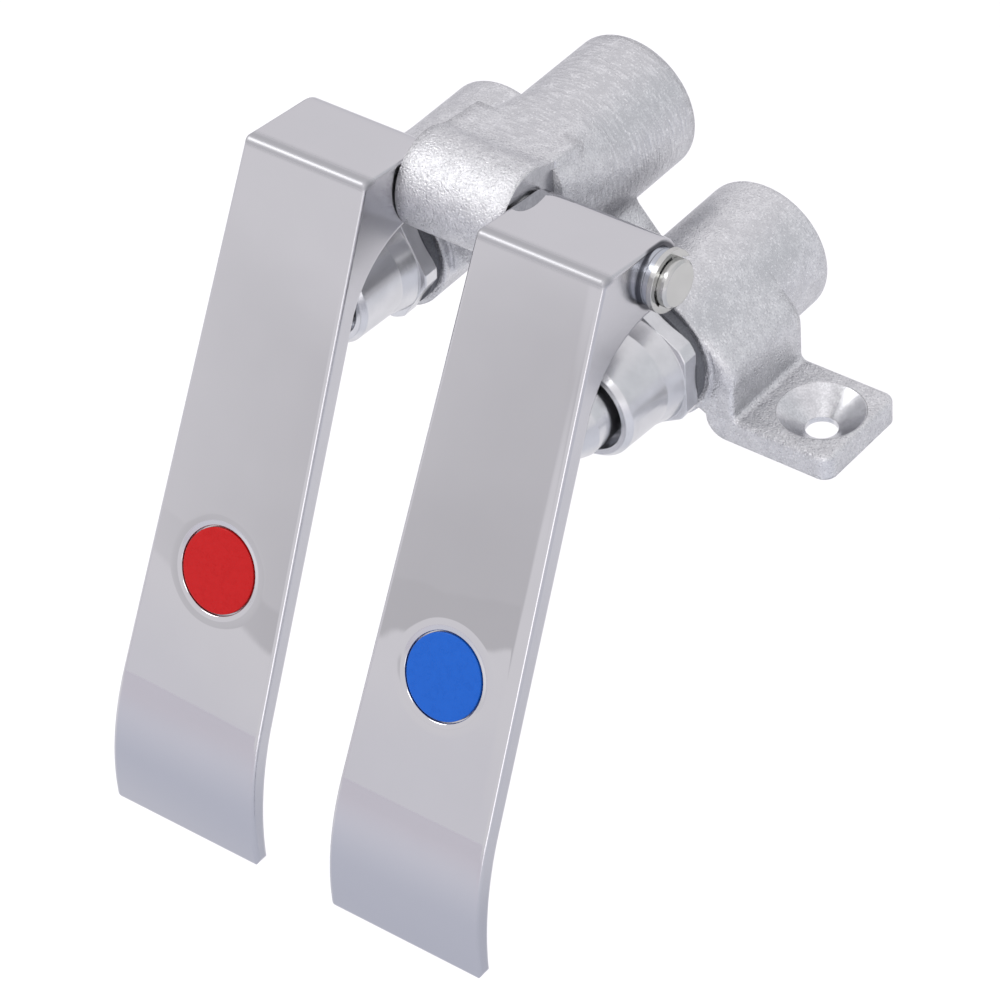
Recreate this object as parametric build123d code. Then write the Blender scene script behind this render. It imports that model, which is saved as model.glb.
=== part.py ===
from build123d import *
import math
import os

os.makedirs("parts", exist_ok=True)

# Double pedal knee valve, in millimetres.
# X runs across the pedals (hot on -X, cold on +X), Y back towards the pipe ports, Z up.
# The origin is on the ears' mounting plane, midway between the two ear screw holes.

# Cast body: two inlet barrels, one raised outlet boss, all along Y
barrel_x = 31.2
barrel_z = 14.4
barrel_radius = 14.3
barrel_front = -12.0
barrel_back = 27.3
outlet_z = 35.7
outlet_radius = 14.6
outlet_front = -12.0
outlet_back = 28.5
port_rim_round = 1.3

# Bridge that joins the three tubes
bridge_front = -10.0
bridge_back = 10.7
bridge_top = ((18.6, 22.1), (12.3, 29.3))
bridge_bottom = ((20.0, 7.5), (13.3, 14.6), (0.0, 14.6))

# Ears: a wall beside each barrel and a plate on the mounting plane
ear_front = -11.7
ear_back = 11.5
ear_plate = 5.2
ear_wall_inside = 43.8
ear_wall_outside = 50.0
ear_end = 71.3
ear_bend = 4.2
ear_shoulder = 6.0
ear_armpit = ((43.8, 4.4), (42.2, 5.2))
ear_corner = 2.6
ear_inner_round = 1.2
ear_hole_x = 61.9
ear_hole_radius = 3.2
ear_countersink_radius = 8.4
ear_countersink_depth = 4.1

# Rounding left by the casting pattern: inside corners and outer edges
cast_round = 2.5
cast_edge = 1.0

# Hinge lug and pin
pin_y = -22.5
pin_z = 43.0
pin_radius = 4.75
pin_end = 47.2
pin_chamfer = 0.5
pin_head_radius = 5.52
pin_head_thick = 1.6
pin_head_proud = 0.3
lug_nose_y = -20.0
lug_nose_z = 42.7
lug_nose_radius = 10.1
lug_half_width = 12.3
lug_cheek_back = -13.6
lug_cheek_top = 51.0
lug_inside_y = -4.0
lug_throat_drop = 9.5
lug_front_height = (28.2, 50.6)
lug_front_half_width = 14.3
lug_front_round = 5.0
lug_root_back = 8.0
lug_root_radius = 14.2
clip_inside = 44.1
clip_thick = 1.1
clip_radius = 6.2
clip_groove_radius = 3.7
clip_ring_gap = 0.35
clip_prong_width = 3.4
clip_mouth = 9.4
clip_mouth_start = 1.9
clip_turn = -30
washer_radius = 5.4
washer_thick = 0.5
spot_face_radius = 6.0
spot_face_clear = 0.06

# Pedals
pedal_x = 27.25
pedal_half_top = 14.45
pedal_half_bottom = 18.3
pedal_bottom = -78.2
pedal_lean = math.radians(26.3)
pedal_face_y = -62.26
pedal_back_lean = math.radians(26.9)
pedal_back_y = -57.25
pedal_tip_thick = 2.9
pedal_bend_z = -47.8
pedal_bend_radius = 57.0
pedal_top_front = 50.9
pedal_top_back = 48.5
hinge_radius = 7.0
hinge_top_round = 5.0
hinge_hollow = 22.0
pedal_edge = 0.9
pedal_top_round = 1.4
pedal_corner = 2.4
tip_round = 1.2
bush_radius = 5.6
bush_proud = 0.7
bush_end_play = 0.05
index_z = -23.3
index_radius = 8.5
index_gap = 0.3
index_depth = 0.9
index_proud = 0.15
index_mouth_round = 0.3

# Bonnets and what they hold, as places along Y
body_bore_radius = 11.05
gasket_thick = 1.95
gasket_radius = 13.0
hex_flats = 25.0
hex_turned_radius = 13.75
hex_front = -17.5
hex_cone_front = -21.9
hex_angle = {"cold": 30, "hot": 3}
sleeve_root_radius = 11.3
sleeve_tip_radius = 10.9
sleeve_front = -32.8
mouth_radius = 8.9
mouth_depth = 5.3
guide_radius = 7.55
plunger_radius = 7.5
plunger_shoulder = -37.6
plunger_nose_radius = 5.0
plunger_nose_y = -44.2
collar_radius = 8.9
collar_front = -19.4
collar_back = -17.8
chamber_radius = 9.4
spigot_back = -6.6
stem_radius = 3.0
stem_guide_back = -2.65
gland_radius = 5.6
gland_back = -1.4
running_fit = 0.05
wet_chamber_radius = 9.6
land_front = 4.6
land_back = 7.2
land_hole_radius = 6.5
seat_bore_radius = 4.8
seat_flange_radius = 7.6
seat_flange_thick = 0.5
seat_lip_radii = (5.5, 5.9)
seat_lip = 8.2
stem_shoulder = 8.9
stem_thread_radius = 2.0
poppet_radius = 7.2
poppet_hub_radius = 3.6
poppet_cup_radius = 6.5
poppet_cup_front = 9.3
poppet_cup_floor = 10.2
poppet_back = 11.6
nut_flats = 7.0
stem_end = 13.6

# Seals: the groove's far radius and the seal's place along Y
plunger_groove_radius = 9.25
plunger_seal_y = -23.7
stem_groove_radius = 4.85
stem_seal_y = -4.0
guide_groove_radius = 9.6
guide_seal_y = -4.65
seal_slack = 0.02
groove_slack = 0.05

# Pipe ports and water ways
port_radius = 10.5
port_depth = 13.3
port_lead_in = 1.2
port_inner_radius = 8.9
way_radius = 3.2
way_y = 1.0
way_low_z = 23.0
riser_radius = 4.4
outlet_bore_front = -5.0

# Return spring
spring_wire = 1.1
spring_mean_radius = 6.6
spring_turns = 4.0
spring_end_gap = 0.25


def turned(profile, x=barrel_x, z=barrel_z):
    """Solid of revolution about a line along Y, from (radius, y) corners."""
    face = make_face(Polyline(*profile, close=True))
    return Pos(x, 0, z) * revolve(face, Axis.Y)


def rod(x, z, front, back, radius):
    """Round bar along Y."""
    return turned([(0, front), (radius, front), (radius, back), (0, back)], x, z)


def across(y, z, left, right, radius):
    """Round bar along X."""
    return Pos((left + right) / 2, y, z) * Rot(0, 90, 0) * Cylinder(radius, right - left)


def slab_xz(outline, front, back):
    """Outline of (x, z) corners or a flat sketch in them, carried along Y."""
    sketch = make_face(Polyline(*outline, close=True)) if isinstance(outline, list) else outline
    return Pos(0, back, 0) * Rot(90, 0, 0) * extrude(sketch, back - front)


def slab_yz(sketch, left, right):
    """Flat sketch in (y, z) carried along X."""
    upright = Plane(origin=(left, 0, 0), x_dir=(0, 1, 0), z_dir=(1, 0, 0))
    return extrude(upright * sketch, right - left)


def rounded(outline, corners):
    """Closed outline with the corners nearest to the given points rounded."""
    sketch = Sketch() + make_face(Polyline(*outline, close=True))
    for point, radius in corners:
        sketch = fillet(sketch.vertices().sort_by_distance((*point, 0))[0], radius)
    return sketch


def both_sides(shape):
    """A cold-side shape together with its hot-side mirror."""
    return [shape, mirror(shape, about=Plane.YZ)]


def seal(inner, outer, y):
    """O-ring that fills the space between two radii about a barrel's line, but for a hair."""
    wire = (outer - inner) / 2 - seal_slack
    return Pos(barrel_x, y, barrel_z) * Rot(90, 0, 0) * Torus((inner + outer) / 2, wire)


def groove(inner, outer, y):
    """Slot for that O-ring, as a tube between the two radii."""
    half = (outer - inner) / 2 + groove_slack
    return turned([(inner, y - half), (outer, y - half), (outer, y + half), (inner, y + half)])


def ear():
    """Wall and plate of one ear, on the cold side."""
    slope = math.sqrt(0.5)
    tangent_x = barrel_x + barrel_radius * slope
    tangent_z = barrel_z + barrel_radius * slope
    shoulder_z = tangent_z - (ear_wall_outside - tangent_x)
    outline = [
        (barrel_x, barrel_z),
        (tangent_x, tangent_z),
        (ear_wall_outside, shoulder_z),
        (ear_wall_outside, ear_plate),
        (ear_end, ear_plate),
        (ear_end, 0),
        (ear_wall_inside, 0),
        *ear_armpit,
    ]
    corners = [
        ((ear_wall_outside, shoulder_z), ear_shoulder),
        ((ear_wall_outside, ear_plate), ear_inner_round),
        ((ear_wall_inside, 0), ear_bend),
    ]
    solid = slab_xz(rounded(outline, corners), ear_front, ear_back)
    upright = solid.edges().filter_by(Axis.Z).group_by(Axis.X)[-1]
    solid = fillet(upright, ear_corner)
    top = [f for f in solid.faces().filter_by(Axis.Z) if abs(f.center().Z - ear_plate) < 0.01]
    inner_side = ear_wall_outside + 2 * ear_inner_round
    rim = [e for e in top[0].edges() if (e @ 0.5).X > inner_side]
    return fillet(rim, cast_edge)


def bridge():
    """Web between the three tubes, with cast rounding where it runs into them."""
    outline = [(0, outlet_z), *reversed(bridge_top), *bridge_bottom]
    half = make_face(Polyline(*outline, close=True)) + Pos(barrel_x, barrel_z) * Circle(barrel_radius)
    whole = Sketch() + half + mirror(half, about=Plane.YZ) + Pos(0, outlet_z) * Circle(outlet_radius)
    for corner_x, corner_z in (bridge_top[1], bridge_bottom[0]):
        for side in (-1, 1):
            vertex = whole.vertices().sort_by_distance((side * corner_x, corner_z, 0))[0]
            whole = fillet(vertex, cast_round)
    slab = slab_xz(whole, bridge_front, bridge_back)
    return fillet(slab.faces().filter_by(Axis.Y).edges(), cast_edge)


def upright_slab(y, half_width, heights, corner):
    """Rounded rectangle standing across Y, between two heights."""
    low, high = heights
    place = Plane(origin=(0, y, (low + high) / 2), x_dir=(1, 0, 0), z_dir=(0, 1, 0))
    return place * RectangleRounded(2 * half_width, high - low, corner)


def lug():
    """Forward lug with round nose and machined cheeks, on a root that sinks into the outlet boss."""
    nose = Pos(lug_nose_y, lug_nose_z) * Circle(lug_nose_radius)
    neck = make_face(
        Polyline(
            (lug_nose_y, lug_nose_z + lug_nose_radius),
            (lug_cheek_back, lug_cheek_top),
            (lug_inside_y, outlet_z + outlet_radius - 0.3),
            (lug_inside_y, outlet_z),
            (outlet_front, outlet_z - lug_throat_drop),
            (lug_nose_y, lug_nose_z - lug_nose_radius),
            close=True,
        )
    )
    root_height = (outlet_z - lug_root_radius, outlet_z + lug_root_radius)
    front = upright_slab(lug_cheek_back, lug_front_half_width, lug_front_height, lug_front_round)
    back = upright_slab(lug_root_back, lug_root_radius, root_height, lug_root_radius - 0.01)
    return slab_yz(nose + neck, -lug_half_width, lug_half_width) + loft([front, back])


def body():
    """Cast body with its machined bores."""
    barrel = rod(barrel_x, barrel_z, barrel_front, barrel_back, barrel_radius)
    outlet = rod(0, outlet_z, outlet_front, outlet_back, outlet_radius)
    tubes = [fillet(tube.edges().sort_by(Axis.Y)[-1], port_rim_round) for tube in (outlet, barrel)]
    cast = tubes[0] + bridge() + lug()
    for tube in both_sides(tubes[1]):
        cast += tube
    for one_ear in both_sides(ear()):
        cast += one_ear

    for side in (-1, 1):
        x = side * barrel_x
        cast -= rod(x, barrel_z, barrel_front - 1, stem_guide_back + 0.05, body_bore_radius)
        cast -= rod(x, barrel_z, stem_guide_back, land_front, wet_chamber_radius)
        cast -= rod(x, barrel_z, land_front - 1, land_back + 1, land_hole_radius)
        cast -= rod(x, barrel_z, land_back, barrel_back - 1, port_inner_radius)
        cast -= port_bore(x, barrel_z, barrel_back)
        cast -= Pos(side * ear_hole_x, 0, ear_plate / 2) * Cylinder(ear_hole_radius, 3 * ear_plate)
        sink = Cone(ear_hole_radius, ear_countersink_radius, ear_countersink_depth)
        cast -= Pos(side * ear_hole_x, 0, ear_plate - ear_countersink_depth / 2) * sink
        way = Vector(side * barrel_x, way_y, barrel_z)
        run = Vector(0, way_y, way_low_z) - way
        cast -= Plane(origin=way, z_dir=run) * Pos(0, 0, run.length / 2) * Cylinder(way_radius, run.length)
    cast -= rod(0, outlet_z, outlet_bore_front, outlet_back - 1, port_inner_radius)
    cast -= port_bore(0, outlet_z, outlet_back)
    riser = outlet_z - way_low_z + way_radius
    cast -= Pos(0, way_y, outlet_z - riser / 2) * Cylinder(riser_radius, riser)
    cast -= across(pin_y, pin_z, -lug_half_width - 5, lug_half_width + 5, pin_radius + 0.01)
    return cast


def port_bore(x, z, mouth):
    """Female pipe port, open at the back with a small lead-in."""
    profile = [
        (0, mouth - port_depth),
        (port_radius, mouth - port_depth),
        (port_radius, mouth - port_lead_in),
        (port_radius + port_lead_in, mouth),
        (port_radius + port_lead_in, mouth + 1),
        (0, mouth + 1),
    ]
    return turned(profile, x, z)


def pedal_half(z):
    """Half the pedal's width at a height."""
    slope = (pedal_half_bottom - pedal_half_top) / (pedal_top_front - pedal_bottom)
    return pedal_half_top + slope * (pedal_top_front - z)


def pedal_front():
    """Tapering outline of a pedal seen from the front, run a little past both ends."""
    high = pedal_top_front + 5
    low = pedal_bottom - 5
    return [
        (pedal_x - pedal_half(high), high),
        (pedal_x - pedal_half(low), low),
        (pedal_x + pedal_half(low), low),
        (pedal_x + pedal_half(high), high),
    ]


def pedal():
    """Polished pedal: side profile carried across, cut to its tapering width."""
    lean = math.tan(pedal_lean)
    back_lean = math.tan(pedal_back_lean)
    down_face = (-math.sin(pedal_lean), -math.cos(pedal_lean))
    down_back = (-math.sin(pedal_back_lean), -math.cos(pedal_back_lean))
    front_bend = (pedal_face_y + lean * pedal_bend_z, pedal_bend_z)
    back_bend = (pedal_back_y + back_lean * pedal_bend_z, pedal_bend_z)
    center = Vector(*front_bend) + Vector(math.cos(pedal_lean), -math.sin(pedal_lean)) * pedal_bend_radius
    drop = center.Y - pedal_bottom
    front_tip = (center.X - math.sqrt(pedal_bend_radius**2 - drop**2), pedal_bottom)
    back_tip = (front_tip[0] + pedal_tip_thick, pedal_bottom)
    hinge_back = pin_y + hinge_radius
    underside = pin_z - hinge_radius
    top_front = (pedal_face_y + lean * pedal_top_front, pedal_top_front)
    top_back = (hinge_back, pedal_top_back)
    low_back = (hinge_back, underside)
    low_front = (pedal_back_y + back_lean * underside, underside)
    edges = [
        Line(top_front, top_back),
        Line(top_back, low_back),
        Line(low_back, low_front),
        Line(low_front, back_bend),
        TangentArc(back_bend, back_tip, tangent=down_back),
        Line(back_tip, front_tip),
        TangentArc(front_bend, front_tip, tangent=down_face),
        Line(front_bend, top_front),
    ]
    sketch = Sketch() + make_face(Curve() + edges)
    corners = [
        (top_back, hinge_top_round),
        (low_back, hinge_radius - 0.05),
        (low_front, hinge_hollow),
        (back_tip, tip_round),
        (front_tip, tip_round),
        (top_front, pedal_top_round),
    ]
    for point, radius in corners:
        sketch = fillet(sketch.vertices().sort_by_distance((*point, 0))[0], radius)
    blade = slab_yz(sketch, 0, 2 * pedal_x)
    blade = blade & slab_xz(pedal_front(), 2 * pedal_bottom, barrel_back)

    def on_face(edge):
        """True for an edge whose middle lies on the pedal's front face."""
        middle = edge @ 0.5
        above = middle.Z > pedal_bend_z
        flat = abs(middle.Y - pedal_face_y - lean * middle.Z) < 0.05
        bent = abs(math.hypot(middle.Y - center.X, middle.Z - center.Y) - pedal_bend_radius) < 0.05
        return flat if above else bent

    rim = [e for e in blade.edges() if on_face(e) and abs((e @ 0.5).X - pedal_x) > pedal_half_top / 2]
    blade = fillet(rim, pedal_edge)
    for side in (-1, 1):
        corner_x = pedal_x + side * pedal_half_bottom
        middle_x = corner_x - side * pedal_corner
        block = Pos(corner_x, pedal_bottom) * Rectangle(2 * pedal_corner, 2 * pedal_corner)
        waste = block - Pos(middle_x, pedal_bottom + pedal_corner) * Circle(pedal_corner)
        blade -= slab_xz(waste, 2 * pedal_bottom, barrel_back)
    spot_face = lug_half_width + washer_thick + spot_face_clear
    blade -= across(pin_y, pin_z, 0, spot_face, spot_face_radius)
    blade -= across(pin_y, pin_z, 0, 2 * pedal_x, bush_radius)
    blade -= index_slug(index_radius + index_gap, 1)
    rings = blade.edges().filter_by(GeomType.CIRCLE)
    mouth = [e for e in rings if abs(e.radius - index_radius - index_gap) < 0.01]
    return fillet(ShapeList(mouth).sort_by(Axis.Y)[0], index_mouth_round)


def index_slug(radius, proud):
    """Round slug square to the pedal's face at the index's place, standing proud of it."""
    face_point = (pedal_x, pedal_face_y + math.tan(pedal_lean) * index_z, index_z)
    inward = (0, math.cos(pedal_lean), -math.sin(pedal_lean))
    place = Plane(origin=face_point, x_dir=(1, 0, 0), z_dir=inward)
    return place * Pos(0, 0, (index_depth - proud) / 2) * Cylinder(radius, index_depth + proud)


def bonnet(angle):
    """Hex bonnet: turned-down hex with a coned shoulder, tapering sleeve and threaded spigot."""
    hex_back = barrel_front - gasket_thick
    hexagon = RegularPolygon(hex_flats / 2, 6, major_radius=False, rotation=angle)
    hex_bar = slab_xz(Pos(barrel_x, barrel_z) * hexagon, hex_cone_front, hex_back)
    cone = turned(
        [
            (0, hex_cone_front),
            (sleeve_root_radius - 0.1, hex_cone_front),
            (hex_flats / 2 - 0.1, hex_front),
            (hex_turned_radius - 0.2, hex_front),
            (hex_turned_radius, hex_front + 0.2),
            (hex_turned_radius, hex_back),
            (0, hex_back),
        ]
    )
    outside = turned(
        [
            (0, sleeve_front),
            (sleeve_tip_radius - 0.9, sleeve_front),
            (sleeve_tip_radius, sleeve_front + 1.1),
            (sleeve_root_radius, hex_cone_front),
            (sleeve_root_radius, hex_back),
            (body_bore_radius - 0.05, hex_back),
            (body_bore_radius - 0.05, spigot_back),
            (0, spigot_back),
        ]
    )
    inside = turned(
        [
            (0, sleeve_front - 1),
            (mouth_radius, sleeve_front - 1),
            (mouth_radius, sleeve_front + mouth_depth - 1.2),
            (guide_radius, sleeve_front + mouth_depth),
            (guide_radius, collar_front - 0.1),
            (chamber_radius, collar_front - 0.1),
            (chamber_radius, spigot_back + 1),
            (0, spigot_back + 1),
        ]
    )
    return outside + (hex_bar & cone) - inside - groove(plunger_radius, plunger_groove_radius, plunger_seal_y)


def plunger():
    """Push rod: bullet nose, guided head, collar and long stem."""
    shoulder = (plunger_radius, plunger_shoulder)
    reach = math.hypot(plunger_radius, plunger_nose_y - plunger_shoulder)
    swing = math.acos(plunger_nose_radius / reach)
    aim = math.atan2(plunger_shoulder - plunger_nose_y, plunger_radius)

    def on_nose(angle):
        """Point on the nose's arc, by its angle from the radius."""
        return (plunger_nose_radius * math.cos(angle), plunger_nose_y + plunger_nose_radius * math.sin(angle))

    touch_angle = aim - swing
    tip = on_nose(-math.pi / 2)
    touch = on_nose(touch_angle)
    profile = Curve() + [
        ThreePointArc(tip, on_nose((touch_angle - math.pi / 2) / 2), touch),
        Polyline(
            touch,
            shoulder,
            (plunger_radius, collar_front),
            (collar_radius, collar_front),
            (collar_radius, collar_back),
            (stem_radius, collar_back),
            (stem_radius, stem_shoulder),
            (stem_thread_radius, stem_shoulder),
            (stem_thread_radius, stem_end),
            (0, stem_end),
            tip,
        ),
    ]
    return Pos(barrel_x, 0, barrel_z) * revolve(make_face(profile), Axis.Y)


def stem_guide():
    """Packing disc that closes the wet chamber round the stem."""
    solid = turned(
        [
            (stem_radius + running_fit, spigot_back),
            (body_bore_radius - 2 * running_fit, spigot_back),
            (body_bore_radius - 2 * running_fit, stem_guide_back),
            (gland_radius, stem_guide_back),
            (gland_radius, gland_back),
            (stem_radius + running_fit, gland_back),
        ]
    )
    solid -= groove(stem_radius, stem_groove_radius, stem_seal_y)
    return solid - groove(guide_groove_radius, body_bore_radius, guide_seal_y)


def valve_seat():
    """Screwed seat ring with a raised lip."""
    lip_top, lip_root = seat_lip_radii
    flange_back = land_back + seat_flange_thick
    return turned(
        [
            (seat_bore_radius, land_front - 0.4),
            (land_hole_radius, land_front - 0.4),
            (land_hole_radius, land_back),
            (seat_flange_radius, land_back),
            (seat_flange_radius, flange_back),
            (lip_root, flange_back),
            (lip_top, seat_lip),
            (seat_bore_radius, seat_lip),
        ]
    )


def poppet():
    """Cup that carries the seat washer on the stem's end."""
    return turned(
        [
            (stem_thread_radius, stem_shoulder),
            (poppet_hub_radius, stem_shoulder),
            (poppet_hub_radius, poppet_cup_floor),
            (poppet_cup_radius, poppet_cup_floor),
            (poppet_cup_radius, poppet_cup_front),
            (poppet_radius, poppet_cup_front),
            (poppet_radius, poppet_back - 0.4),
            (poppet_radius - 0.4, poppet_back),
            (stem_thread_radius, poppet_back),
        ]
    )


def seat_washer():
    """Rubber ring that closes on the seat's lip."""
    front = seat_lip + seal_slack
    return turned(
        [
            (poppet_hub_radius, front),
            (poppet_cup_radius, front),
            (poppet_cup_radius, poppet_cup_floor),
            (poppet_hub_radius, poppet_cup_floor),
        ]
    )


def poppet_nut():
    """Small hex nut behind the cup."""
    hexagon = RegularPolygon(nut_flats / 2, 6, major_radius=False)
    bar = slab_xz(Pos(barrel_x, barrel_z) * hexagon, poppet_back, stem_end - 0.1)
    return bar - rod(barrel_x, barrel_z, poppet_back - 1, stem_end + 1, stem_thread_radius)


def helix_frame(angle, start, pitch):
    """Point and unit direction on the spring's helix about its own Y line."""
    rise = pitch / (2 * math.pi)
    point = Vector(
        spring_mean_radius * math.cos(angle),
        start + rise * angle,
        spring_mean_radius * math.sin(angle),
    )
    heading = Vector(
        -spring_mean_radius * math.sin(angle), rise, spring_mean_radius * math.cos(angle)
    )
    return point, heading.normalized()


def biarc(p0, t0, p1, t1):
    """Two arcs that meet smoothly between two points with given directions."""
    chord = p1 - p0
    both = t0 + t1
    a = 2 * (1 - t0.dot(t1))
    b = chord.dot(both)
    reach = (-b + math.sqrt(b * b + a * chord.dot(chord))) / a
    joint = (p0 + p1 + (t0 - t1) * reach) * 0.5
    middle = (joint - (p0 + t0 * reach)).normalized()
    first = Edge.make_tangent_arc(p0, t0, joint)
    return [first, Edge.make_tangent_arc(joint, middle, p1)]


def return_spring():
    """Compression spring round the stem, one tube wound on its helix."""
    start = collar_back + spring_wire / 2 + spring_end_gap
    end = spigot_back - spring_wire / 2 - spring_end_gap
    pitch = (end - start) / spring_turns
    steps = int(spring_turns * 4)
    edges = []
    for i in range(steps):
        p0, t0 = helix_frame(i * math.pi / 2, start, pitch)
        p1, t1 = helix_frame((i + 1) * math.pi / 2, start, pitch)
        edges += biarc(p0, t0, p1, t1)
    p0, t0 = helix_frame(0, start, pitch)
    p1, t1 = helix_frame(steps * math.pi / 2, start, pitch)
    edges.insert(0, Edge.make_line(p0 - t0 * spring_wire, p0))
    edges.append(Edge.make_line(p1, p1 + t1 * spring_wire))
    path = Wire(edges)
    section = Plane(origin=p0 - t0 * spring_wire, z_dir=t0) * Circle(spring_wire / 2)
    print("spring: least gap between turns", round(pitch - spring_wire, 2), "mm")
    return Pos(barrel_x, 0, barrel_z) * sweep(section, path=path)


def pedal_bush(outside):
    """Bearing sleeve pressed in the pedal, from the spacer washer to the given end."""
    inside = lug_half_width + washer_thick + bush_end_play
    tube = across(pin_y, pin_z, inside, outside, bush_radius)
    return tube - across(pin_y, pin_z, inside - 1, outside + 1, pin_radius + 0.04)


def hinge_pin():
    """Long pin through lug and pedals: low head sunk in the hot pedal, clip groove at the cold end."""
    pin = across(pin_y, pin_z, -pin_head_end, pin_end, pin_radius)
    pin = chamfer(pin.edges().sort_by(Axis.X)[-1], pin_chamfer)
    head = across(pin_y, pin_z, -pin_head_end, pin_head_thick - pin_head_end, pin_head_radius)
    pin += chamfer(head.edges().sort_by(Axis.X)[0], pin_chamfer)
    groove_middle = clip_inside + clip_thick / 2
    groove_left = groove_middle - clip_thick / 2 - 0.05
    groove_right = groove_middle + clip_thick / 2 + 0.05
    slot = across(pin_y, pin_z, groove_left, groove_right, pin_radius + 1)
    return pin - (slot - across(pin_y, pin_z, groove_left, groove_right, clip_groove_radius))


def retaining_clip():
    """Open spring-steel clip: a ring with three prongs that reach into the pin's groove."""
    ring_inside = pin_radius + clip_ring_gap
    prong_end = ring_inside + 0.5
    rim = Circle(clip_radius) - Circle(ring_inside)
    prong = Rectangle(prong_end - clip_groove_radius, clip_prong_width)
    prongs = Sketch()
    for angle in (90, 180, 270):
        prongs += Rot(0, 0, angle) * Pos((clip_groove_radius + prong_end) / 2, 0) * prong
    prongs -= Circle(clip_groove_radius + 0.02)
    mouth = Pos(clip_mouth_start + clip_radius, 0) * Rectangle(2 * clip_radius, clip_mouth)
    flat = Rot(0, 0, clip_turn) * (rim + prongs - mouth)
    return slab_yz(Pos(pin_y, pin_z) * flat, clip_inside, clip_inside + clip_thick)


def washer(inside, outside, radius):
    """Flat washer on the hinge pin."""
    flat = Circle(radius) - Circle(pin_radius + 0.02)
    return slab_yz(Pos(pin_y, pin_z) * flat, inside, outside)


def gasket():
    """Fibre ring between the bonnet's hex and the barrel's front."""
    back = barrel_front
    return turned(
        [
            (body_bore_radius, back - gasket_thick),
            (gasket_radius, back - gasket_thick),
            (gasket_radius, back),
            (body_bore_radius, back),
        ]
    )


pedal_side = pedal_x + pedal_half(pin_z)
pin_head_end = pedal_side + pin_head_proud
bush_end = {"cold": pedal_side + bush_proud, "hot": pin_head_end - pin_head_thick - bush_end_play}

export_step(body(), "parts/valve_body.step")
export_step(hinge_pin(), "parts/hinge_pin.step")

for side in ("cold", "hot"):
    side_pieces = {
        "pedal": pedal(),
        "pedal_bush": pedal_bush(bush_end[side]),
        "index_disc": index_slug(index_radius, index_proud),
        "bonnet": bonnet(hex_angle[side]),
        "bonnet_gasket": gasket(),
        "plunger": plunger(),
        "plunger_seal": seal(plunger_radius, plunger_groove_radius, plunger_seal_y),
        "return_spring": return_spring(),
        "stem_guide": stem_guide(),
        "stem_seal": seal(stem_radius, stem_groove_radius, stem_seal_y),
        "guide_seal": seal(guide_groove_radius, body_bore_radius, guide_seal_y),
        "valve_seat": valve_seat(),
        "poppet": poppet(),
        "seat_washer": seat_washer(),
        "poppet_nut": poppet_nut(),
        "spacer_washer": washer(lug_half_width, lug_half_width + washer_thick, washer_radius),
    }
    if side == "cold":
        side_pieces["pin_washer"] = washer(bush_end["cold"] + bush_end_play, clip_inside, bush_radius)
        side_pieces["pin_clip"] = retaining_clip()
    for piece_name, shape in side_pieces.items():
        placed = shape if side == "cold" else mirror(shape, about=Plane.YZ)
        export_step(placed, f"parts/{side}_{piece_name}.step")
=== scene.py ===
# %% [markdown]
# # A double pedal knee valve
#
# A knee valve sits under a basin. Two polished pedals hang from one long pin, and pressing one with
# the knee pushes a plunger into a rough, chromed casting, which lets hot or cold water through.
#
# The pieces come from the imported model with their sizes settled. This script gives every surface
# its finish, adds what is too fine for the model, and sets up the light and the camera.

# %% Load the frame
import math

import bmesh
import bpy
import numpy as np
from mathutils import Matrix, Vector


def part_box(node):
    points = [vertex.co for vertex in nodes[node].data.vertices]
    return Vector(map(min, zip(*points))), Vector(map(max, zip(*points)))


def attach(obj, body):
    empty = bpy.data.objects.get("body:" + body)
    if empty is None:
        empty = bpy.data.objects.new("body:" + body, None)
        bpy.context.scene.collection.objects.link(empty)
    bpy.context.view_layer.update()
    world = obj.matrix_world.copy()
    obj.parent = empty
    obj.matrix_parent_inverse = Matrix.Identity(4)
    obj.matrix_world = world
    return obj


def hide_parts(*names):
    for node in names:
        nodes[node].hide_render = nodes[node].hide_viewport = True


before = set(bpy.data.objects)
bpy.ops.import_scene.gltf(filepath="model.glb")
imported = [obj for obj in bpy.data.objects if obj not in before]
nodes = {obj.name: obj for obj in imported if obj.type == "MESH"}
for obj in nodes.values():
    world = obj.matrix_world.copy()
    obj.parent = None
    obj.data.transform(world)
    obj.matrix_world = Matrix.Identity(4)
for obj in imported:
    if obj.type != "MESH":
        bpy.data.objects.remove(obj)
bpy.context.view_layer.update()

scene = bpy.context.scene
mm = 0.001

# %% [markdown]
# ## Places on the valve
#
# Every pattern below is centred on something real: a barrel's axis, the hinge pin, a screw hole.
# Where a place is a node's own, it is read from the node's box, in millimetres, so that the finish
# follows the part if the part changes.
#
# Some places are features of a larger piece, and no box gives them: the outlet's axis and radius,
# the barrels' radius, the ear screws' distance from the middle, the bonnets' mouths, and the lean
# and the outline of the pedals' faces. These are typed.


# %% Axes and centres
def corners(node):
    """Lowest and highest corner of a node's box, in millimetres."""
    low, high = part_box(node)
    return np.array(low) / mm, np.array(high) / mm


def middle(node):
    """Centre of a node's box, in millimetres."""
    return sum(corners(node)) / 2


pin = middle("hinge_pin")
barrel = {side: middle(side + "_bonnet_gasket") for side in ("hot", "cold")}
disc = {side: middle(side + "_index_disc") for side in ("hot", "cold")}
lug_side = corners("cold_spacer_washer")[0][0]

boss = np.array((0.0, 0.0, 35.7))
boss_radius = 14.6
barrel_radius = 14.3
ear_screw = 61.9
mouth_radius = 8.9
face_lean = math.radians(26.3)
half_width_at_top, half_width_slope, top_z = 14.45, 0.0298, 50.9
print("pin", pin.round(2), "barrel", barrel["cold"].round(2))
print("boss", boss.round(2), "lug side", round(float(lug_side), 2))

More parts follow.
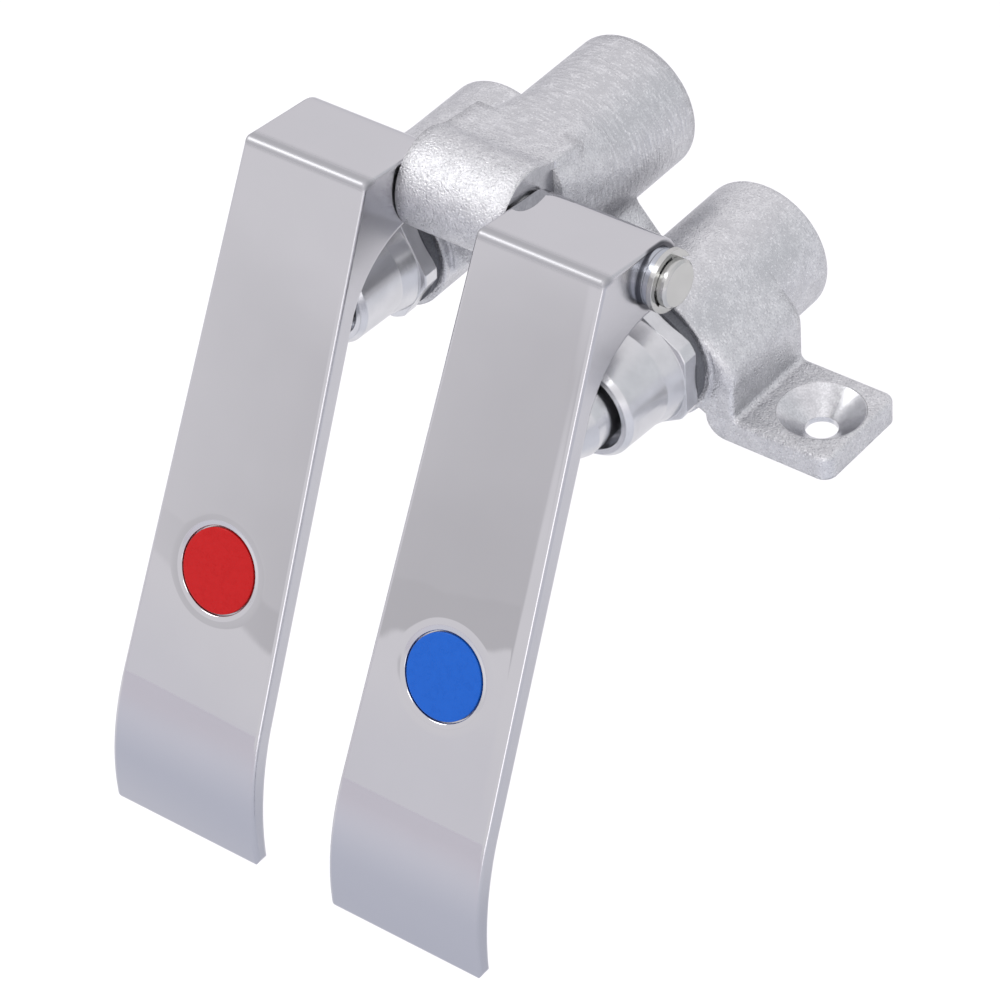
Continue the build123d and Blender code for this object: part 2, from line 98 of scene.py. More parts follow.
# %% [markdown]
# ## The camera
#
# The photograph looks down on the valve from the front, from the cold side, through a long lens,
# and the camera leans a few degrees. An Euler rotation would hide that in three linked numbers.
# Here the camera's three axes are written as vectors instead: the one that points back at the
# photographer, then right and up, turned together by the lean.

# %% Camera
azimuth = math.radians(40.175)
elevation = math.radians(39.899)
lean = math.radians(-4.519)
distance = 881.28 * mm
aim = Vector((3.034, -24.905, -26.14)) * mm

back = Vector((
    math.sin(azimuth) * math.cos(elevation),
    -math.cos(azimuth) * math.cos(elevation),
    math.sin(elevation),
))
level = Vector((math.cos(azimuth), math.sin(azimuth), 0.0))
upward = back.cross(level)
right = math.cos(lean) * level + math.sin(lean) * upward
up = math.cos(lean) * upward - math.sin(lean) * level

lens = bpy.data.cameras.new("camera")
lens.lens = 163.54
lens.sensor_width = 36.0
lens.clip_start = 0.05
lens.clip_end = 50.0
camera = bpy.data.objects.new("camera", lens)
turn = Matrix((right, up, back)).transposed().to_4x4()
camera.matrix_world = Matrix.Translation(aim + back * distance) @ turn
scene.collection.objects.link(camera)
scene.camera = camera
scene.view_settings.view_transform = "Standard"
print("camera at", [round(v, 3) for v in camera.matrix_world.translation])

# %% [markdown]
# ## Writing shaders as expressions
#
# A finish is a small calculation repeated at every point: how far is this point from the axis, is
# it on a machined face, how rough is it. Wiring such sums by hand gives a wall of nodes that nobody
# can read. So one class wraps an output socket and overloads the operators, and an expression such
# as `1 - mask * 0.5` adds its own Math nodes.


# %% Sockets as values
class Value:
    """An output socket that can be used in Python expressions."""

    def __init__(self, shader, socket):
        self.shader = shader
        self.socket = socket

    def math(self, operation, *others):
        """A Math node on this value and others."""
        return self.shader.node("Math", {"operation": operation}, dict(enumerate((self, *others))))

    def other(self, name):
        """Another output of the same node."""
        return Value(self.shader, self.socket.node.outputs[name])

    def __add__(self, other):
        return self.math("ADD", other)

    def __sub__(self, other):
        return self.math("SUBTRACT", other)

    def __rsub__(self, other):
        return self.math("MULTIPLY_ADD", -1.0, other)

    def __mul__(self, other):
        return self.math("MULTIPLY", other)

    def __pow__(self, other):
        return self.math("POWER", other)

    def __abs__(self):
        return self.math("ABSOLUTE")

    __radd__ = __add__
    __rmul__ = __mul__

    def most(self, other):
        """The larger of two values."""
        return self.math("MAXIMUM", other)

    def step(self, low, high):
        """Smooth step from 0 at low to 1 at high. With low above high it starts at 1 and falls."""
        ends = (0.0, 1.0) if low < high else (1.0, 0.0)
        ins = dict(enumerate((self, min(low, high), max(low, high), *ends)))
        return self.shader.node("MapRange", {"interpolation_type": "SMOOTHSTEP"}, ins)


print("socket values ready")

# %% [markdown]
# ## One class for a node tree
#
# Materials and the world are both node trees, so one class serves both. Its `node` method adds any
# node. The rest are patterns that come back in several finishes: noise of a given size, marks that
# a lathe leaves, a bump of a given height. All of them work in millimetres, the unit a maker thinks
# in.


# %% Node trees and patterns
class Shader:
    """A node tree under construction, with its place in millimetres as x, y and z."""

    def __init__(self, tree, coordinates="Object", unit=mm):
        self.tree = tree
        tree.nodes.clear()
        self.unit = unit
        self.place = self.node("TexCoord", {}, {}, coordinates)
        split = self.node("SeparateXYZ", {}, {"Vector": self.place}, "X")
        self.x, self.y, self.z = (split.other(axis) * (1.0 / unit) for axis in "XYZ")

    def node(self, kind, settings, ins, out=0):
        """Adds a node: settings first, then socket values or links. Gives back one output."""
        made = self.tree.nodes.new("ShaderNode" + kind)
        for key, value in settings.items():
            setattr(made, key, value)
        for key, value in ins.items():
            named = [s for s in made.inputs if s.identifier == key]
            socket = named[0] if named else made.inputs[key]
            if isinstance(value, Value):
                self.tree.links.new(value.socket, socket)
            else:
                socket.default_value = value
        if not made.outputs:
            return None
        named = [s for s in made.outputs if s.identifier == out]
        return Value(self, named[0] if named else made.outputs[out])

    def mix(self, factor, low, high):
        """Colour that goes from low to high with the factor."""
        ins = {"Factor_Float": factor, "A_Color": low, "B_Color": high}
        return self.node("Mix", {"data_type": "RGBA"}, ins, "Result_Color")

    def mix_normal(self, factor, low, high):
        """Normal that goes from low to high with the factor."""
        ins = {"Factor_Float": factor, "A_Vector": low, "B_Vector": high}
        return self.node("Mix", {"data_type": "VECTOR"}, ins, "Result_Vector")

    def vector(self, x, y, z):
        """Coordinates made of three values."""
        return self.node("CombineXYZ", {}, {0: x, 1: y, 2: z})

    def noise(self, size, detail=2.0, where=None, rough=0.5):
        """Noise from 0 to 1, of the given size in millimetres, or on coordinates of its own."""
        scale = 1.0 / size if where else 1.0 / (size * self.unit)
        ins = {"Vector": where or self.place, "Scale": scale, "Detail": detail, "Roughness": rough}
        return self.node("TexNoise", {}, ins, 0)

    def lathe(self, axis, a, b, pitch):
        """Noise that is the same all round a line along an axis, as a lathe tool's marks are."""
        radius = self.radius(axis, a, b)
        along = {"x": self.x, "y": self.y, "z": self.z}[axis]
        return self.noise(pitch, 3.0, self.vector(radius, along, 0.0))

    def radius(self, axis, a, b):
        """Distance from a line along an axis, through the point (a, b) in the other two."""
        others = {"x": (self.y, self.z), "y": (self.x, self.z), "z": (self.x, self.y)}
        first, second = others[axis]
        return ((first - a) ** 2.0 + (second - b) ** 2.0) ** 0.5

    def bump(self, height, normal=None):
        """Normal bent by a height in millimetres."""
        ins = {"Height": height, "Distance": mm, "Strength": 1.0}
        if normal is not None:
            ins["Normal"] = normal
        return self.node("Bump", {}, ins, "Normal")

    def soft_edges(self, radius):
        """Normal rounded over the edges by a radius in millimetres."""
        return self.node("Bevel", {"samples": 6}, {"Radius": radius * mm}, "Normal")


def finish(name):
    """A new material and the shader that fills it."""
    material = bpy.data.materials.new(name)
    material.use_nodes = True
    return material, Shader(material.node_tree)


def surface(shader, **ins):
    """Ends a material with a principled shader. An underscore in a name stands for a space."""
    ins = {key.replace("_", " "): value for key, value in ins.items()}
    shader.node("OutputMaterial", {}, {"Surface": shader.node("BsdfPrincipled", {}, ins)})


print("shader class ready")

# %% [markdown]
# ## The light
#
# Chrome has no colour of its own: it shows the room. The photograph's room is a white tent, with a
# slightly darker strip just above the table's far edge. That strip is what ends across the pedals,
# beside the discs.
#
# The tent is the world's own light, as a function of direction. The height of a direction above the
# horizon gives the strip, and its turn about the vertical says where the strip and a dimmer corner
# are. The strip is darkest at its foot. The sheet below it is a little cooler than the tent.
#
# Three area lights stand for windows of light, hidden from the camera but not from the chrome. The
# first, at the upper left, makes the raw casting sparkle. The low one draws the bright line down
# the pedals' right edges. The far one stands farther off than the camera and a little above it,
# and lights the faces that turn towards it.

# %% World
tent_white = (1.0, 0.985, 1.02, 1.0)
sheet_cool = (0.945, 0.935, 0.99, 1.0)
corner_cool = (0.94, 0.955, 1.0, 1.0)
strip_dim, low_strip_dim, foot_dim, foot_end_dim, corner_dim = 0.18, 0.04, 0.03, 0.08, 0.14

world = bpy.data.worlds.new("white_tent")
world.use_nodes = True
scene.world = world
tent = Shader(world.node_tree, "Generated", 1.0)
height = tent.z.math("ARCSINE") * math.degrees(1.0)
heading = tent.x.math("ARCTAN2", tent.y * -1.0) * math.degrees(1.0)
foot_of_strip = height.step(2.6, 2.5) * (heading.step(-31.0, -32.0) * foot_end_dim + foot_dim)
strip = height.step(7.0, 5.6) * strip_dim + height.step(4.2, 3.2) * low_strip_dim + foot_of_strip
strip = strip * height.step(1.95, 2.05)
strip = strip * heading.step(-35.0, -30.0) * heading.step(-27.4, -28.4)
corner = abs(heading - 135.0).step(60.0, 15.0)
corner = corner * height.step(60.0, 25.0) * height.step(-30.0, -5.0)
brightness = 1.0 - strip - corner * corner_dim
below_strip = height.step(1.9, 0.3)
tone = tent.mix(corner, tent.mix(below_strip, tent_white, sheet_cool), corner_cool)
light = tent.node("Background", {}, {"Color": tone, "Strength": brightness})
tent.node("OutputWorld", {}, {"Surface": light})


def softbox(name, turn, rise, distance, size, radiance):
    """Square area light that faces the valve, at a heading and height in degrees."""
    lamp = bpy.data.lights.new(name, "AREA")
    lamp.size = size
    lamp.energy = radiance * math.pi * size**2
    turn, rise = math.radians(turn), math.radians(rise)
    flat = math.cos(rise)
    toward = Vector((math.sin(turn) * flat, -math.cos(turn) * flat, math.sin(rise)))
    box = bpy.data.objects.new(name, lamp)
    box.location = aim + toward * distance
    box.rotation_euler = toward.to_track_quat("Z", "Y").to_euler()
    box.visible_camera = False
    scene.collection.objects.link(box)
    print("softbox", name, "at", [round(v, 2) for v in box.location])


softbox("window", -58.0, 47.0, 1.0, 0.4, 4.0)
softbox("low_window", 45.0, 0.0, 1.2, 0.35, 1.35)
softbox("far_window", 30.0, 48.0, 1.0, 0.3, 4.0)

# %% [markdown]
# ## The floor
#
# The photograph shows the valve on plain white with no shadow. So the floor is a wide pale sheet
# well below the pedals' tips, where the tent's light has filled the shadow in.
#
# Behind and under the valve the sheet is white. Towards the camera it is painted a little greyer
# and bluer, a painted shade on the floor, which tones the lower parts of the pedals, where the
# chrome leans over it.

# %% Floor
paper_low, paper_high = (0.96, 0.96, 0.96, 1.0), (0.98, 0.98, 0.98, 1.0)
# Colours of the painted shade in front of the valve.
front_shade_pale, front_shade_grey = (0.90, 0.88, 0.93, 1.0), (0.76, 0.78, 0.83, 1.0)
floor_level = -0.25
floor_half = 6.0

floor_mesh = bpy.data.meshes.new("floor")
floor_corners = [(-1, -1), (1, -1), (1, 1), (-1, 1)]
floor_points = [(x * floor_half, y * floor_half, floor_level) for x, y in floor_corners]
floor_mesh.from_pydata(floor_points, [], [(0, 1, 2, 3)])
floor = bpy.data.objects.new("floor", floor_mesh)
scene.collection.objects.link(floor)

floor_material, paper = finish("white_paper")
paper_tone = paper.mix(paper.noise(40.0), paper_low, paper_high)
# Painted shade: greyer and bluer towards the camera, in front of the valve.
front_painted_shade = paper.mix(paper.y.step(-1500.0, -150.0), front_shade_pale, front_shade_grey)
front_shade_mask = (paper.x * math.sin(azimuth) - paper.y * math.cos(azimuth)).step(-45.0, 110.0)
paper_tone = paper.mix(front_shade_mask, paper_tone, front_painted_shade)
surface(paper, Base_Color=paper_tone, Roughness=0.9, Specular_IOR_Level=0.1)
floor_mesh.materials.append(floor_material)
print("floor at", floor_level)

# %% [markdown]
# ## Chrome on the raw casting
#
# The body is sand cast, and only some of its faces are machined. The plating is too thin to hide
# the sand, so the casting keeps a pebbly skin that glitters. A belt has ground the outlet boss
# around its girth and the inlet barrels along their length, which leaves fine strokes.
#
# The skin could be real geometry, but grains of half a millimetre over the whole body would take
# millions of faces. A bump of the right height does the same for the light. Three sizes of noise
# make it: waves, lumps and grains. The grains stand higher on the lug and the ears, and lower where
# the belt has been. The colour is lightened too, as painted highlights: a broad painted glitter on
# grains, lumps and strokes, and small painted glints on the highest grains.
#
# A sand casting has no sharp inner corners, so at the lug's root and where the ears' blocks meet
# the barrels the edges are rounded over a wider radius than elsewhere. Where the body is machined,
# a mask built from real places switches the skin off and leaves lathe marks.

# %% Cast chrome: masks
port_radius = 10.55
countersink_radius = 8.5
barrel_x, _, barrel_z = barrel["cold"]

cast_material, cast = finish("cast_chrome")
boss_ring = cast.radius("y", boss[0], boss[2])
from_barrel_x, from_barrel_z = abs(cast.x) - barrel_x, cast.z - barrel_z
barrel_ring = (from_barrel_x**2.0 + from_barrel_z**2.0) ** 0.5
screw_ring = ((abs(cast.x) - ear_screw) ** 2.0 + cast.y**2.0) ** 0.5

in_boss_port = boss_ring.step(port_radius + 0.1, port_radius)
in_barrel_port = barrel_ring.step(port_radius + 0.1, port_radius)
in_port = in_boss_port.most(in_barrel_port) * cast.y.step(-6.0, -5.5)
in_sink = screw_ring.step(countersink_radius + 0.15, countersink_radius)
port_face = cast.y.step(27.15, 27.25) * barrel_ring.step(16.0, 15.0)
port_face = port_face.most(cast.y.step(28.35, 28.45))
cheek = abs(abs(cast.x) - lug_side).step(0.12, 0.06) * cast.y.step(-12.0, -13.0)
machined = in_port.most(in_sink).most(port_face).most(cheek)
as_cast = 1.0 - machined

on_lug = cast.y.step(-11.0, -13.0)
on_ear = abs(cast.x).step(48.0, 50.5)
on_boss = boss_ring.step(15.6, 15.0) * (1.0 - on_lug)
on_barrel = barrel_ring.step(15.4, 14.9)
root = cast.y.step(11.0, 9.0) * cast.z.step(31.0, 33.0) * (1.0 - cheek)
root = root.most(barrel_ring.step(14.9, 15.2) * cast.z.step(12.0, 14.0))
print("cast chrome masks:", len(cast.tree.nodes), "nodes")

# %% Cast chrome: skin, strokes and colour
chrome = (0.565, 0.567, 0.582, 1.0)
chrome_light = (0.73, 0.732, 0.745, 1.0)
# Near white, the colour of the painted glints.
painted_glint_white = (0.93, 0.93, 0.94, 1.0)
raw_brass = (0.62, 0.44, 0.19, 1.0)
cast_tint = (0.72, 0.72, 0.74, 1.0)

girth = (cast.x - boss[0]).math("ARCTAN2", cast.z - boss[2]) * boss_radius
girth_strokes = cast.noise(1.0, 2.0, cast.vector(girth * 0.3, cast.y * 1.3, 0.0))
barrel_girth = from_barrel_x.math("ARCTAN2", from_barrel_z) * barrel_radius
long_strokes = cast.noise(1.0, 2.0, cast.vector(barrel_girth * 2.4, cast.y * 0.08, 0.0))

waves = cast.noise(11.0, 1.0)
lumps = cast.noise(2.2, 2.0)
grains = cast.noise(0.42, 2.0, rough=0.6)
patches = cast.noise(9.0, 2.0).step(0.36, 0.62)
ground = on_boss.most(on_barrel * (1.0 - patches)) * 0.55
grain_height = 0.19 + on_lug * 0.09 + on_ear * 0.1 - ground * 0.12
lump_height = 0.12 - on_lug * 0.06
skin = grains * grain_height + lumps * lump_height + waves * 0.3
strokes = girth_strokes * on_boss * 0.2 + long_strokes * on_barrel * 0.03
lathe_marks = cast.lathe("y", boss[0], boss[2], 0.25)
relief = (skin + strokes) * as_cast + lathe_marks * machined * 0.008

cast_soft = cast.mix_normal(root, cast.soft_edges(1.0), cast.soft_edges(4.0))
cast_edge = cast.mix_normal(machined, cast_soft, cast.soft_edges(0.15))
cast_rough = 0.30 - machined * 0.04 + (grains - 0.5) * 0.2 * as_cast
# Painted highlights: lighter on grains, lumps and strokes, near white on the highest grains.
painted_glitter = grains * 0.6 * (1.0 - ground * 0.5) + lumps * 0.4 + (girth_strokes - 0.5) * on_boss * 0.7
painted_glints = grains.step(0.6, 0.7) * as_cast
cast_tone = cast.mix(painted_glitter.step(0.34, 0.66), chrome, chrome_light)
cast_tone = cast.mix(painted_glints * 0.7, cast_tone, painted_glint_white)
surface(
    cast,
    Base_Color=cast.mix(in_port, cast_tone, raw_brass),
    Metallic=1.0,
    Roughness=cast_rough,
    Specular_Tint=cast_tint,
    Normal=cast.bump(relief, cast_edge),
)
print("cast chrome:", len(cast.tree.nodes), "nodes")

# %% [markdown]
# ## Chrome on the pedals
#
# The pedals are cast too, but buffed on a wheel until they mirror. Buffing never leaves a true
# plane: the face rolls by a few hundredths of a millimetre, and it falls away around the mouth of
# the disc's recess, where the wheel dwells. A mirror doubles each of these slopes, so the darker
# strip's edge wanders across the face and bends round the disc. That is most of what makes the
# photograph's pedals look like metal, and it is why the rolling is a bump with a real height here.
#
# Round the disc there is a wide, shallow dip and a narrow, deeper lip. The flanks and the top edge
# are satin, as the wheel reaches them less well, and the top edge is also painted darker, a painted
# shade that dims its highlight. The tips are painted a little darker and bluer, a painted
# reflection of a darker, bluer floor below them. The outer end of the pin's hole is painted near
# black, a painted shade of the gap round the bush.

# %% Pedal chrome
pedal_dark, pedal_light = (0.555, 0.55, 0.568, 1.0), (0.582, 0.577, 0.596, 1.0)
# Painted shade for the top edge and the pin's hole, painted reflection for the tips.
rim_painted_shade = (0.43, 0.43, 0.445, 1.0)
tip_painted_shade = (0.466, 0.469, 0.505, 1.0)
pin_hole_shade_black = (0.10, 0.10, 0.11, 1.0)
pedal_tint = (0.78, 0.78, 0.80, 1.0)


def pedal_chrome(side, shift, twist, level_x, edge_fall):
    """Mirror chrome on a pedal: twist, rolling, the dip round the disc, fine wheel marks and haze.

    shift moves the noise along x, in millimetres, so that the two pedals differ. The twist's
    height is twist times the distance from x = level_x times the distance down from the disc.
    edge_fall is the height that the face loses at its edge on the side of larger x.
    """
    material, shader = finish(side + "_pedal_chrome")
    middle_x = float(disc[side][0])
    down = shader.y * -math.sin(face_lean) - shader.z * math.cos(face_lean)
    out = shader.y * -math.cos(face_lean) + shader.z * math.sin(face_lean)
    disc_down = -disc[side][1] * math.sin(face_lean) - disc[side][2] * math.cos(face_lean)
    from_disc = down - float(disc_down)
    disc_ring = ((shader.x - middle_x) ** 2.0 + from_disc**2.0) ** 0.5
    gap = half_width_at_top + half_width_slope * (top_z - shader.z) - abs(shader.x - middle_x)

    face = shader.vector(shader.x + shift, out, down)
    roll = shader.noise(16.0, 1.0, face)
    haze = shader.noise(14.0, 3.0, face)
    wheel_place = shader.vector((shader.x + shift) * 1.6, out * 1.6, down * 0.03)
    wheel = shader.noise(1.0, 2.0, wheel_place)
    fall = gap.step(3.4, 0.0) * (shader.x - middle_x).step(-6.0, 6.0)
    turn = (shader.x - level_x) * from_disc * twist
    dip = disc_ring.step(8.4, 11.6)
    lip = disc_ring.step(8.9, 9.9)
    relief = roll * 0.02 + dip * 0.016 + lip * 0.26 - fall * edge_fall + turn + wheel * 0.0002

    top_rim = (top_z - shader.z).step(1.9, 0.9) * shader.y.step(-34.0, -36.0)
    flank = gap.step(1.0, 0.1)
    pin_ring = shader.radius("x", float(pin[1]), float(pin[2]))
    # Painted shade: near black round the outer end of the pin's hole.
    pin_hole_painted_shade = pin_ring.step(6.9, 6.2) * abs(shader.x).step(41.0, 41.5)
    tone = shader.mix(haze, pedal_dark, pedal_light)
    # Painted shade: darker along the top edge, to dim its highlight.
    tone = shader.mix(top_rim, tone, rim_painted_shade)
    # Painted reflection: darker and bluer towards the tips.
    tone = shader.mix(shader.z.step(-50.0, -66.0), tone, tip_painted_shade)
    surface(
        shader,
        Base_Color=shader.mix(pin_hole_painted_shade, tone, pin_hole_shade_black),
        Metallic=1.0,
        Roughness=0.003 + haze * 0.012 + top_rim * 0.4 + flank * 0.2,
        Specular_Tint=pedal_tint,
        Normal=shader.bump(relief, shader.soft_edges(0.1)),
    )
    return material


pedal_materials = {
    "hot": pedal_chrome("hot", shift=40.0, twist=0.000177, level_x=-50.7, edge_fall=0.0),
    "cold": pedal_chrome("cold", shift=7.0, twist=-0.00014, level_x=-4.4, edge_fall=0.05),
}
print("pedal chrome for", sorted(pedal_materials))

# %% [markdown]
# ## Turned pieces
#
# Bonnets, plungers, seats, the pin and its bushes all come off a lathe. A lathe's tool leaves rings
# about the axis, on end faces and on cylinders alike. Noise that only knows the distance from the
# axis and the place along it gives both kinds at once, so one function serves every turned piece.
# It takes the metal's two colours, how rough it is, how high the rings are, and for a bonnet the
# radius of its bore, inside which a near white colour is painted light in the mouth's dark gap.

# %% Turned metal
ring_pitch = 0.22
# Near white, painted light inside the bonnets' bores.
bore_painted_light = (0.88, 0.89, 0.93, 1.0)


def turned_metal(name, axis, a, b, dark, light, rough, ring_height, edge=0.2, bore=-1.0):
    """Metal off a lathe, with rings about the line along an axis through (a, b).

    Inside the radius bore the colour is near white, painted light in the dark gap of a bonnet's
    mouth. The default of -1 means that there is no bore.
    """
    material, shader = finish(name)
    rings = shader.lathe(axis, float(a), float(b), ring_pitch)
    stains = shader.noise(3.5, 3.0)
    tint = tuple(0.4 + 0.6 * channel for channel in light[:3])
    in_bore = shader.radius(axis, float(a), float(b)).step(bore + 0.1, bore)
    # Painted light: near white inside the bore, in the mouth's dark gap.
    surface(
        shader,
        Base_Color=shader.mix(in_bore, shader.mix(stains, dark, light), bore_painted_light),
        Metallic=1.0,
        Roughness=rough + rings * rough * 0.5,
        Specular_Tint=(*tint, 1.0),
        Normal=shader.bump(rings * ring_height, shader.soft_edges(edge)),
    )
    return material


steel = (0.50, 0.50, 0.485, 1.0), (0.59, 0.59, 0.575, 1.0)
bush = (0.42, 0.44, 0.48, 1.0), (0.50, 0.52, 0.56, 1.0)
brass = (0.60, 0.42, 0.17, 1.0), (0.72, 0.54, 0.25, 1.0)
plate = chrome, chrome_light
pin_steel = turned_metal("pin_steel", "x", pin[1], pin[2], *steel, 0.16, 0.004)
bush_steel = turned_metal("bush_steel", "x", pin[1], pin[2], *bush, 0.2, 0.004)
turned = {}
for side in ("hot", "cold"):
    line = ("y", barrel[side][0], barrel[side][2])
    turned[side] = {
        "bonnet": turned_metal(
            side + "_bonnet_chrome", *line, *plate, 0.2, 0.0005, edge=0.35, bore=mouth_radius
        ),
        "plunger": turned_metal(side + "_plunger_chrome", *line, *plate, 0.18, 0.003),
        "brass": turned_metal(side + "_brass", *line, *brass, 0.24, 0.006),
    }
print("turned metals:", 2 + sum(len(kinds) for kinds in turned.values()))

# %% [markdown]
# ## Springs, seals and gaskets
#
# These hide inside, and show only where a bonnet's mouth or a port lets a little light in. Drawn
# wire has a faint mottle, rubber a dull bloom, and pressed fibre a fleck. Each is a plain surface
# with noise of its own size. The seal that wipes the plunger is paler than the others.


# %% Wire, rubber and fibre
def plain(name, dark, light, size, rough, height, metallic=0.0):
    """A surface with one size of noise in its colour, its roughness and its height."""
    material, shader = finish(name)
    fleck = shader.noise(size, 4.0, rough=0.6)
    surface(
        shader,
        Base_Color=shader.mix(fleck.step(0.35, 0.65), dark, light),
        Metallic=metallic,
        Roughness=rough + fleck * 0.15,
        Normal=shader.bump(fleck * height, shader.soft_edges(0.12)),
    )
    return material


wire = plain("spring_wire", (0.36, 0.36, 0.37, 1.0), (0.50, 0.50, 0.51, 1.0), 0.4, 0.25, 0.01, 1.0)
wiper = plain("wiper_rubber", (0.10, 0.11, 0.14, 1.0), (0.16, 0.17, 0.20, 1.0), 0.3, 0.35, 0.01)
rubber = plain("seal_rubber", (0.018, 0.018, 0.02, 1.0), (0.035, 0.035, 0.038, 1.0), 0.3, 0.5, 0.01)
fibre = plain("gasket_fibre", (0.09, 0.095, 0.11, 1.0), (0.15, 0.155, 0.17, 1.0), 0.25, 0.6, 0.02)
print("plain materials: wire, two rubbers, fibre")

# %% [markdown]
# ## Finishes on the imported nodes
#
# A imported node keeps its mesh. It only trades its material, and its name says which one it gets.
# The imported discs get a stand-in here, as enamelled ones replace them further down.

# %% Assign
finishes = {"valve_body": cast_material, "hinge_pin": pin_steel}
for side in ("hot", "cold"):
    of_side = {
        "pedal": pedal_materials[side],
        "pedal_bush": bush_steel,
        "index_disc": rubber,
        "bonnet": turned[side]["bonnet"],
        "bonnet_gasket": fibre,
        "plunger": turned[side]["plunger"],
        "plunger_seal": wiper,
        "return_spring": wire,
        "stem_guide": turned[side]["brass"],
        "stem_seal": rubber,
        "guide_seal": rubber,
        "valve_seat": turned[side]["brass"],
        "poppet": turned[side]["brass"],
        "seat_washer": rubber,
        "poppet_nut": turned[side]["brass"],
        "spacer_washer": pin_steel,
        "pin_washer": bush_steel,
        "pin_clip": pin_steel,
    }
    finishes.update({side + "_" + kind: material for kind, material in of_side.items()})
for name, node in nodes.items():
    for slot in node.material_slots:
        slot.material = finishes[name]
print("finished nodes:", len(nodes))

# %% [markdown]
# ## Closed skins
#
# The two kinds of new pieces, discs and threads, are both closed skins: a stack of rings with a
# point at each end. For a disc the rings grow outwards from the middle of its face and come back
# under it. For a thread each ring is one slice of the ridge, and the ridge runs out to a point at
# both ends.


# %% Closed skin
def closed_skin(name, first, rings, last, body, material):
    """Skin over an array of rings (ring, place, xyz), in millimetres, with a point at each end."""
    count, places, _ = rings.shape
    points = np.vstack((first, rings.reshape(-1, 3), last)) * mm
    here = np.arange(places)
    ahead = np.roll(here, -1)
    rows = 1 + places * np.arange(count - 1)[:, None]
    quads = np.stack((rows + here, rows + places + here, rows + places + ahead, rows + ahead), -1)
    start = np.stack((np.zeros(places, int), 1 + here, 1 + ahead), -1)
    top = 1 + (count - 1) * places
    end = np.stack((np.full(places, len(points) - 1), top + ahead, top + here), -1)
    mesh = bpy.data.meshes.new(name)
    faces = quads.reshape(-1, 4).tolist() + start.tolist() + end.tolist()
    mesh.from_pydata(points.tolist(), [], faces)
    solid = bmesh.new()
    solid.from_mesh(mesh)
    volume = solid.calc_volume(signed=True) / mm**3
    solid.free()
    if volume < 0:
        mesh.flip_normals()
    mesh.shade_smooth()
    mesh.set_sharp_from_angle(angle=math.radians(40.0))
    mesh.materials.append(material)
    piece = bpy.data.objects.new(name, mesh)
    scene.collection.objects.link(piece)
    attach(piece, body)
    print(name, "faces", len(mesh.polygons), "volume", round(abs(volume), 1), "mm3")
    return piece


# %% [markdown]
# ## The index discs
#
# A red and a blue disc say which pedal is hot. Each is a stamped blank with enamel that has flowed
# level and drawn back at the rim, so the face is a very low dome with a rounded edge. The dome is
# only a tenth of a millimetre high, but a glossy face needs it: it is what makes the light fade
# across the colour. The profile is a parabola for the dome, a quarter circle for the edge and a
# flat back.


# %% Enamelled discs
def enamel(name, dark, light):
    """Glossy enamel, a little mottled in its colour, its roughness and its height."""
    material, shader = finish(name)
    mottle = shader.noise(1.3, 3.0)
    surface(
        shader,
        Base_Color=shader.mix(mottle, dark, light),
        Roughness=0.24 + mottle * 0.08,
        Specular_IOR_Level=0.2,
        Normal=shader.bump(mottle * 0.001),
    )
    return material


def index_disc(side, material, dome=0.12, edge=0.25, places=96):
    """Dome falls with the square of the radius, then a quarter circle turns down the edge."""
    low, high = corners(side + "_index_disc")
    radius = (high[0] - low[0]) / 2
    tall = (high[1] - low[1] - 2 * radius * math.sin(face_lean)) / math.cos(face_lean)
    flat = np.linspace(0.4, radius - edge, 14)
    quarter = np.linspace(0.0, math.pi / 2, 7)[1:]
    reach = np.concatenate((flat, radius - edge + edge * np.sin(quarter), [radius, radius * 0.5]))
    face = tall / 2 - dome * (flat / radius) ** 2
    rise = np.concatenate((face, face[-1] - edge + edge * np.cos(quarter), [-tall / 2, -tall / 2]))
    around = np.linspace(0.0, 2 * math.pi, places, endpoint=False)
    outward = np.array((0.0, -math.cos(face_lean), math.sin(face_lean)))
    across = np.array((1.0, 0.0, 0.0))
    along = np.cross(outward, across)
    circle = np.cos(around)[:, None] * across + np.sin(around)[:, None] * along
    rings = disc[side] + reach[:, None, None] * circle + rise[:, None, None] * outward
    ends = [disc[side] + height * outward for height in (tall / 2, -tall / 2)]
    name = side + "_enamel_disc"
    piece = closed_skin(name, ends[0], rings, ends[1], side + "_pedal", material)
    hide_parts(side + "_index_disc")


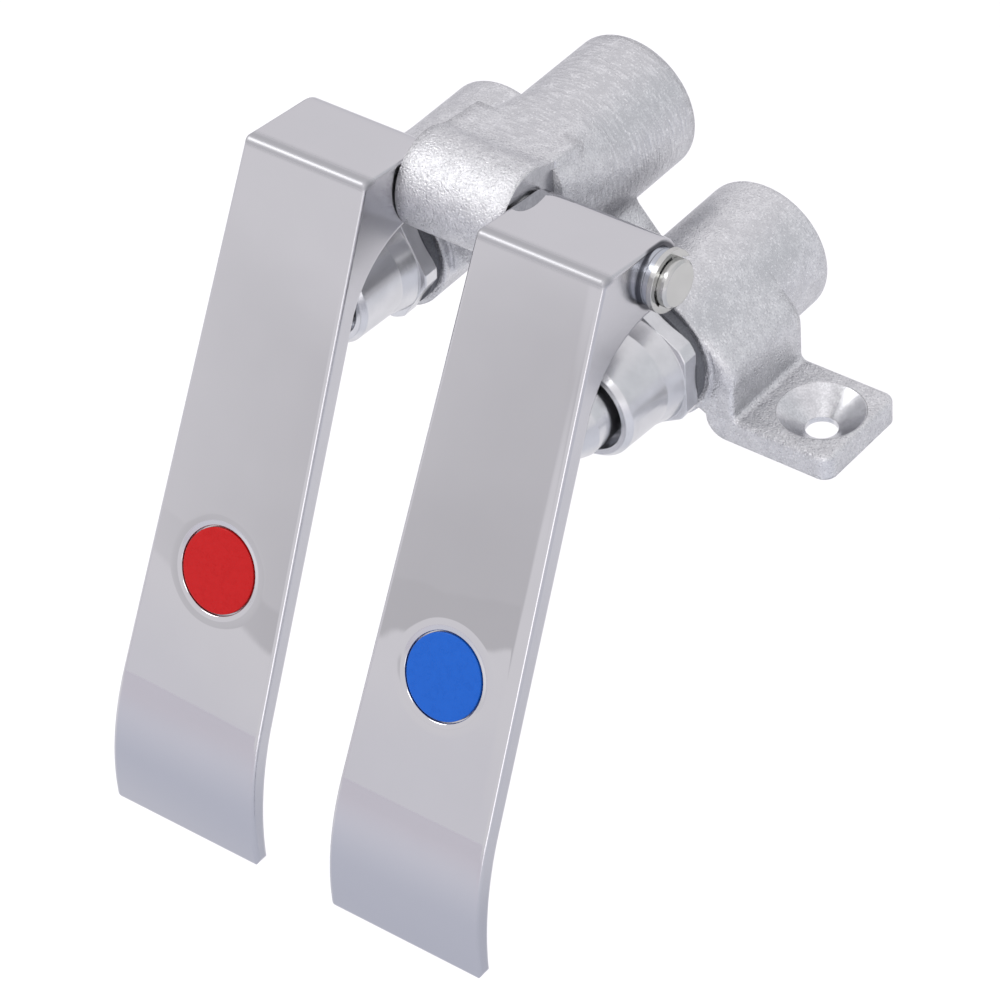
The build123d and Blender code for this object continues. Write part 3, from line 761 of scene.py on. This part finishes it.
index_disc("hot", enamel("red_enamel", (0.42, 0.003, 0.004, 1.0), (0.50, 0.008, 0.009, 1.0)))
index_disc("cold", enamel("blue_enamel", (0.005, 0.088, 0.44, 1.0), (0.01, 0.112, 0.52, 1.0)))

# %% [markdown]
# ## Pipe threads
#
# The three ports are tapped for half-inch pipe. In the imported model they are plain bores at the
# thread's outer diameter, which is how the library measures a port. The ridges are added here: one
# rounded tooth on a helix of 14 turns to the inch, which runs out at both ends. The tooth's foot is
# sunk a little into the wall so that no light shows under it.

# %% Threads
pitch = 25.4 / 14
tooth = 1.162
foot = 0.06
bore_radius = port_radius - 0.05


def pipe_thread(name, centre, start, stop, material, steps=64):
    """Radius of the ridge is the bore's less a rounded tooth, which fades out at both ends.

    The tooth's height is a table of shares across the pitch: 0 at its feet and 1 at its crest.
    """
    turns = (stop - start - pitch) / pitch
    angle = np.linspace(0.0, 2 * math.pi * turns, int(steps * turns))
    fade = np.clip(np.minimum(angle, angle[-1] - angle) / (0.75 * math.pi), 0.02, 1.0)
    across = np.array((-0.5, -0.36, -0.22, -0.11, 0.0, 0.11, 0.22, 0.36, 0.5, 0.0))
    height = np.array((0.0, 0.27, 0.66, 0.93, 1.0, 0.93, 0.66, 0.27, 0.0, -0.05))
    radius = bore_radius + foot - (tooth + foot) * height * fade[:, None]
    along = start + pitch / 2 + pitch * angle[:, None] / (2 * math.pi) + pitch * 0.98 * across
    x = centre[0] + radius * np.sin(angle)[:, None]
    z = centre[1] + radius * np.cos(angle)[:, None]
    rings = np.stack((x, along, z), -1)
    ends = rings.mean(axis=1)
    closed_skin(name, ends[0], rings, ends[-1], "valve", material)


for side in ("hot", "cold"):
    centre = (barrel[side][0], barrel[side][2])
    pipe_thread(side + "_inlet_thread", centre, 14.0, 26.0, turned[side]["brass"])
outlet_brass = turned_metal("outlet_brass", "y", boss[0], boss[2], *brass, 0.24, 0.006)
pipe_thread("outlet_thread", (boss[0], boss[2]), 15.2, 27.2, outlet_brass)

# %% [markdown]
# ## The end

# %% Finish
print("scene finished")
